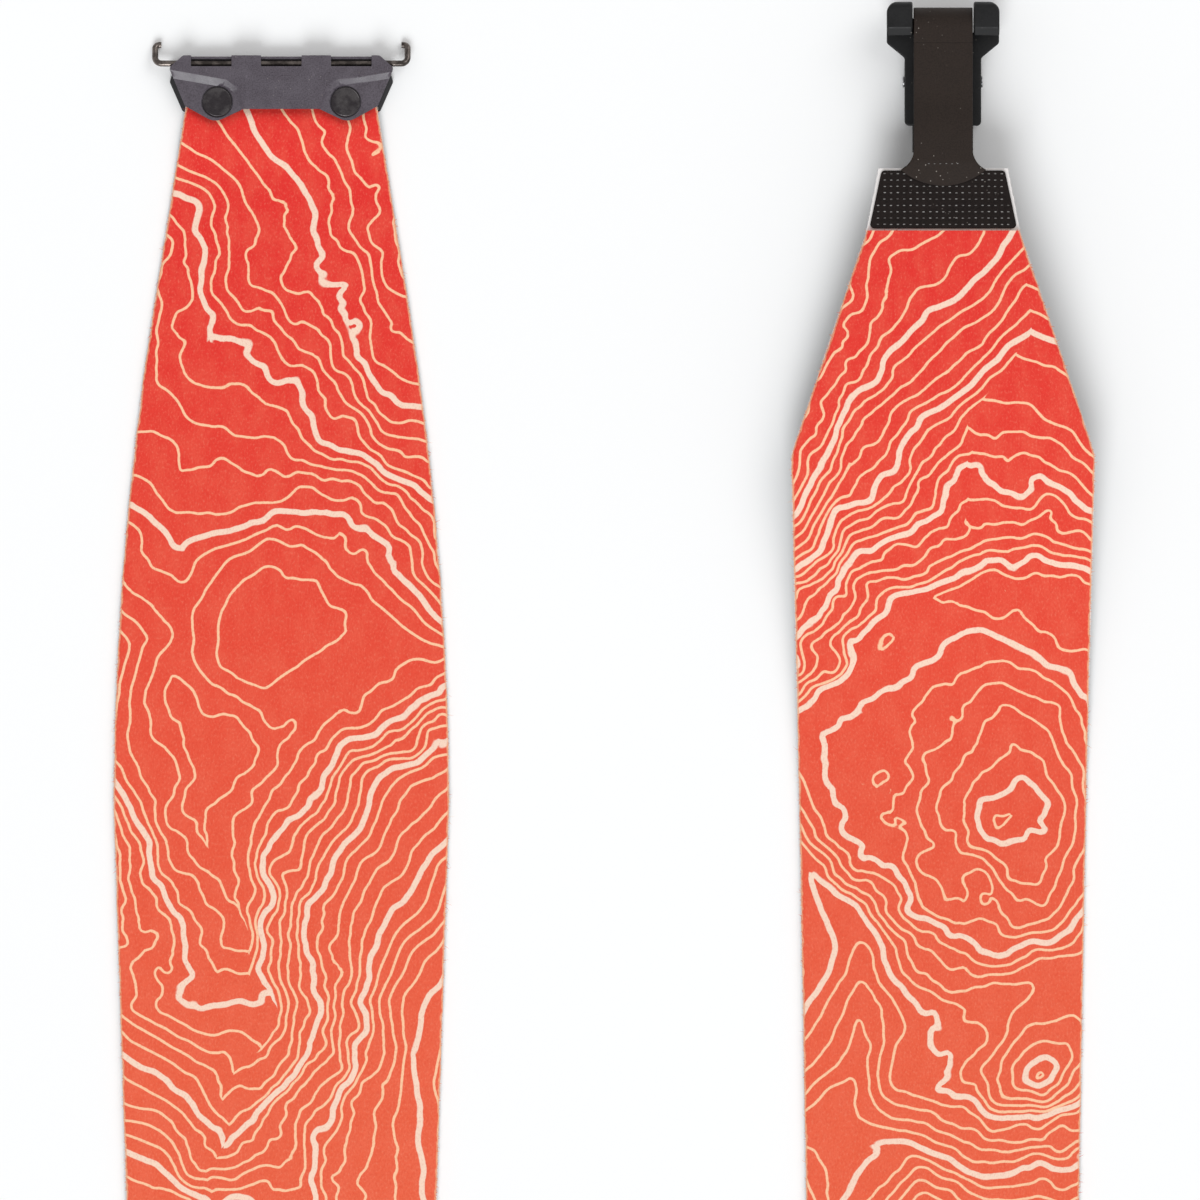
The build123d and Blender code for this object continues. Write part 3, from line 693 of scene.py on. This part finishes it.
def fringe(skin, i, low, high, seed):
    """Loose fibres that stick out of the cut edges of the pile, and threads out of the bare cloth's edges."""
    side = skin.side
    rng = random.Random(seed)
    verts, faces, index = [], [], []

    def hair(root, out, length, pick, floor):
        bend = Vector((rng.uniform(-0.3, 0.3), rng.uniform(-0.5, 0.5), -0.3)) * length
        width = rng.uniform(0.00004, 0.00008)
        side_way = Vector((-out.y, out.x, 0)).normalized() * width
        mid = root + out * length * 0.55 + bend * 0.25
        tip = root + out * length + bend
        tip.z = max(tip.z, floor + 0.0002)
        up = Vector((0, 0, width))
        start = len(verts)
        verts.extend((root + side_way, root - side_way, root + up))
        verts.extend((mid + side_way * 0.8, mid - side_way * 0.8, mid + up * 0.8, tip))
        for a, b in ((0, 1), (1, 2), (2, 0)):
            faces.append((start + a, start + b, start + b + 3, start + a + 3))
            faces.append((start + a + 3, start + b + 3, start + 6))
        faces.append((start + 2, start + 1, start))
        index.extend([pick] * 7)

    for edge in (-1, 1):
        y = low
        while y < high:
            y += rng.expovariate(1 / HAIR_GAP)
            if y >= high - 0.0002 or abs(y) < 0.0004:
                continue
            z0 = skin.floor(y) + skin.lam_t
            reach = (0.0009, 0.0021) if rng.random() < LONG_HAIRS else (0.0003, 0.0009)
            length = rng.uniform(*reach)
            angle = rng.gauss(-0.35, 0.55)
            root = Vector((edge * (skin.half(y) - HAIR_ROOT), y, z0 + rng.uniform(0.0001, skin.pile_t * 0.8)))
            out = Vector((edge * math.cos(angle), math.sin(angle), rng.uniform(-0.1, 0.35)))
            hair(root, out, length, rng.choices((0, 1, 2), (3, 4, 3))[0], z0 - skin.lam_t)
    if i == 0:
        half = skin.half(low) - 0.0004
        for _ in range(END_HAIRS):
            x = rng.uniform(-half, half)
            z0 = skin.floor(low) + skin.lam_t
            root = Vector((x, low + HAIR_ROOT, z0 + rng.uniform(0.0002, skin.pile_t * 0.9)))
            out = Vector((rng.gauss(0, 0.5), -1, rng.uniform(-0.5, 0.1))).normalized()
            length = rng.uniform(0.0003, 0.0009)
            hair(root, out, length, rng.choices((0, 2, 3), (2, 3, 3))[0], z0 - skin.lam_t)
        for _ in range(END_THREADS):
            edge = rng.choice((-1, 1))
            y = rng.uniform(skin.tail + HAIR_ROOT, low)
            z0 = skin.floor(y)
            root = Vector((edge * (skin.half(y) - HAIR_ROOT), y, z0 + rng.uniform(0.4, 1.0) * skin.lam_t))
            out = Vector((edge, rng.gauss(-0.3, 0.6), rng.uniform(-0.2, 0.3))).normalized()
            hair(root, out, rng.uniform(0.0003, 0.0010), 3, z0)
    points = to_row(side, [tuple(v) for v in verts])
    hairs = [MAT["hair_cream"], MAT["hair_peach"], MAT["hair_red"], MAT["hair_white"]]
    obj = make_mesh(f"{side}_fringe_{i}", points, faces, hairs, index)
    place(obj, side, low, high)
    return obj


def strap_pieces(skin):
    """The strap from its root on the patch to the clip, in two pieces that meet where neither bends."""
    side = skin.side
    probe = Probe(side, "strap_root", "strap_run")
    root = y_range(side, "strap_root")
    run = y_range(side, "strap_run")
    hinge, seam = run[1], run[1] - STRAP_SEAM
    made = []
    for name, low, high in (("strap_upper", seam, root[1]), ("strap_lower", run[0], seam)):
        rings = []
        for y in spaced(low, high, STRAP_ROWS):
            solid_y = min(max(y, run[0] + INSIDE), root[1] - ROOT_END)
            zb, zt = probe.low(0.0002, solid_y), probe.high(0.0002, solid_y)
            half = probe.half(solid_y, zb + 0.0002) or 0.0004
            if y > root[1] - ROOT_END:
                half *= 0.35
            r = min(STRAP_EDGE, (zt - zb) * 0.4)
            ring = [(-half, y, zb + r * 0.3), (-half + r * 0.3, y, zb)]
            ring += [(half - r * 0.3, y, zb), (half, y, zb + r * 0.3)]
            for a in (0, 30, 60, 90):
                a = math.radians(a)
                ring.append((half - r + r * math.cos(a), y, zt - r + r * math.sin(a)))
            for t in np.linspace(0.92, -0.92, 19):
                ring.append((t * (half - r), y, zt + 0.00003 * bumpy(t * half, y, 5, 0.004)))
            for a in (90, 120, 150, 180):
                a = math.radians(a)
                ring.append((-half + r + r * math.cos(a), y, zt - r + r * math.sin(a)))
            rings.append(to_row(side, ring))
        obj = loft(f"{side}_{name}", rings, [MAT["strap"]])
        made.append(obj)
    upper, lower = made
    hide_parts(f"{side}_strap_root", f"{side}_strap_run")
    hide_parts(f"{side}_strap_run")
    ends = to_row(side, [(0, hinge + 0.001, 0), (0, hinge - 0.008, 0), (0, seam, 0), (0, run[0] + 0.0005, 0)])
    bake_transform(upper)
    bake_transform(lower)


def patch_dots_painted_highlight(skin):
    """Rows of small raised dashes on the tail patch, and a short row on the strap's root; their pale grey is
    painted highlight on the tops of the rubber dashes.
    """
    side = skin.side
    patch, root = Probe(side, "tail_patch"), Probe(side, "strap_root")
    low, high = y_range(side, "tail_patch")
    rng = random.Random(11)
    verts, faces = [], []
    pitch_x, pitch_y, margin = 0.00221, 0.00215, 0.0011

    def dash(x, y, z, length=0.00052, width=0.00021, height=0.00014):
        start = len(verts)
        x += rng.uniform(-0.00008, 0.00008)
        y += rng.uniform(-0.00006, 0.00006)
        ring = [(-length, 0), (-length * 0.6, -width), (length * 0.6, -width), (length, 0)]
        ring += [(length * 0.6, width), (-length * 0.6, width)]
        for s, h in ((1.0, -0.00005), (0.55, height)):
            verts.extend((x + a * s, y + b * s, z + h) for a, b in ring)
        for k in range(6):
            faces.append((start + k, start + (k + 1) % 6, start + 6 + (k + 1) % 6, start + 6 + k))
        faces.append(tuple(start + 6 + k for k in range(6)))
        faces.append(tuple(start + k for k in reversed(range(6))))

    y = low + margin
    while y < high - margin * 0.6:
        half = patch.half(y, (patch.high(0, y) + patch.low(0, y)) / 2) - margin
        x = -pitch_x * 10
        while x <= pitch_x * 10.01:
            if abs(x) < half and root.high(x, y) is None and root.high(x, y + 0.0012) is None:
                dash(x, y, patch.high(x, y))
            x += pitch_x
        y += pitch_y
    y = low - 0.0023
    for k in range(6):
        x = (k - 2.5) * pitch_x * 0.88
        dash(x, y, root.high(x, y), 0.00040, 0.00015)
    obj = make_mesh(f"{side}_patch_dots_painted_highlight", to_row(side, verts), faces, [MAT["dots"]], smooth=False)
    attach(obj, f"{side}_skin_rear")


for number, side in enumerate(SIDES):
    skin = Skin(side)
    marks = cuts(skin)
    for i in range(SEGMENTS):
        low, high = marks[i], marks[i + 1]
        pile = pile_piece(skin, i, low, high)
        hairs = fringe(skin, i, low, high, 100 * number + i)
        cloth, flat_size, area = laminate_piece(skin, i, skin.tail if i == 0 else low, high)
    strap_pieces(skin)
    patch_dots_painted_highlight(skin)

# The CAD nodes that stay: material, and width of the softened edges. The top plate's edges stay as they
# are, because a bevel makes spikes where the wire's windows meet its rounded ends.
FINISH = {
    "tip_top_plate": ("plate", None),
    "tip_bottom_plate": ("plate_dark", 0.00015),
    "tip_rivets": ("rivet", None),
    "tip_rivet_backs": ("rivet", 0.0001),
    "tip_wire": ("wire", None),
    "tail_patch": ("patch", 0.0001),
    "strap_loop": ("strap", 0.0003),
    "clip_body": ("clip", 0.0006),
    "cam_pin": ("steel", 0.0002),
    "cam_lever": ("lever", 0.0002),
}
for side in SIDES:
    for name, (finish, bevel) in FINISH.items():
        obj = NODES[f"{side}_{name}"]
        obj.data.materials.clear()
        obj.data.materials.append(MAT[finish])
        weld = obj.modifiers.new("join", "WELD")
        weld.merge_threshold = 2e-6  # joins the separate faces, so that edges can be found
        if bevel:
            planes = obj.modifiers.new("planes", "DECIMATE")
            planes.decimate_type = "DISSOLVE"
            planes.angle_limit = math.radians(0.5)
            edge = obj.modifiers.new("edge", "BEVEL")
            edge.width = bevel
            edge.segments = 3
            edge.limit_method = "ANGLE"
            edge.angle_limit = math.radians(32)
            edge.use_clamp_overlap = False
            obj.modifiers.new("shade", "WEIGHTED_NORMAL")


# ---- floor, light and camera --------------------------------------------------------------------------
def far_light(name, where, degrees, strength, colour=(1, 1, 1)):
    """A wide soft light far off, in the direction of a place seen from the origin."""
    data = bpy.data.lights.new(name, "SUN")
    data.angle = math.radians(degrees)
    data.energy = strength
    data.color = colour
    obj = bpy.data.objects.new(name, data)
    obj.location = where
    obj.rotation_mode = "QUATERNION"
    obj.rotation_quaternion = (-Vector(where)).to_track_quat("-Z", "Y")
    bpy.context.scene.collection.objects.link(obj)


def pale_floor():
    """A plain sheet under the skins, with hardly any unevenness in its white."""
    m, n, bsdf = material("pale_floor", rgb(252, 252, 252), 0.8, 0, 0.2)
    shade = n.noise(n.object_place(), 3.0, 2.0)
    n.set(bsdf.inputs["Base Color"], n.mix(shade, rgb(250, 250, 250), rgb(253, 253, 253)))
    h, z = FLOOR_HALF, FLOOR_Z
    corners = [(-h, -h, z), (h, -h, z), (h, h, z), (-h, h, z)]
    return make_mesh("floor", corners, [(0, 1, 2, 3)], [m], smooth=False)


pale_floor()

world = bpy.data.worlds.new("soft_room")
world.use_nodes = True
background = world.node_tree.nodes["Background"]
background.inputs[0].default_value = (1, 1, 1, 1)
background.inputs[1].default_value = ROOM_LIGHT
bpy.context.scene.world = world
far_light("key", (-0.28, -2.1, 1.9), 35, 1.8, (0.96, 0.985, 1.0))
far_light("fill", (1.5, 1.4, 2.2), 40, 0.66)

camera = bpy.data.cameras.new("camera")
camera.lens = LENS
camera.sensor_width = SENSOR
camera.clip_start, camera.clip_end = 0.05, 60
cam = bpy.data.objects.new("camera", camera)
cam.location = VIEW + Vector((0, 0, WIDTH * camera.lens / camera.sensor_width))
bpy.context.scene.collection.objects.link(cam)
bpy.context.scene.camera = cam
bpy.context.scene.view_settings.view_transform = "Standard"
